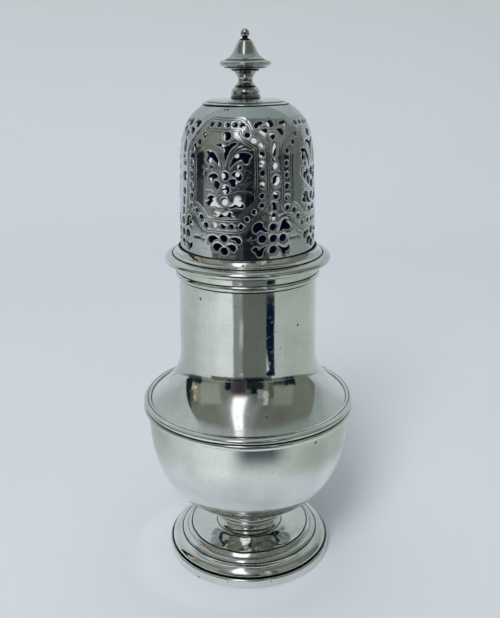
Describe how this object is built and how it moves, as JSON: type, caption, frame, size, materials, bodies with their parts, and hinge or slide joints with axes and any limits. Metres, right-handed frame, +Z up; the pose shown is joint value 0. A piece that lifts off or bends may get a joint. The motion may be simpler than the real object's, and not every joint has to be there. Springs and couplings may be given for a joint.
{
  "type": "sugar caster",
  "caption": "Turned silver baluster caster on a stepped foot, with a pierced domed cover that lifts off to fill it.",
  "frame": {"origin": "centre of the foot's lower face, on the table", "axes": "+Z up the axis of revolution, towards the finial; -Y is the side the picture shows"},
  "size_m": [0.065, 0.065, 0.16],
  "materials": {
    "silver": "polished silver with fine wear",
    "silver_inside": "silver, less polished",
    "silver_cast": "cast silver, polished, darker in its recesses"
  },
  "bodies": {
    "body": {"foot_rim": "silver", "foot": "silver", "stem_collar": "silver_cast", "bowl": "silver", "girdle": "silver", "upper_body": "silver", "mouth_band": "silver"},
    "cover": {"cover_rim": "silver", "cover_bezel": "silver_inside", "pierced_dome": "silver", "crown_disc": "silver", "finial": "silver_cast"}
  },
  "joints": [
    {"name": "cover_lift", "type": "slide", "parent": "body", "child": "cover", "axis": [0, 0, 1], "range_m": [0, 0.05]}
  ]
}
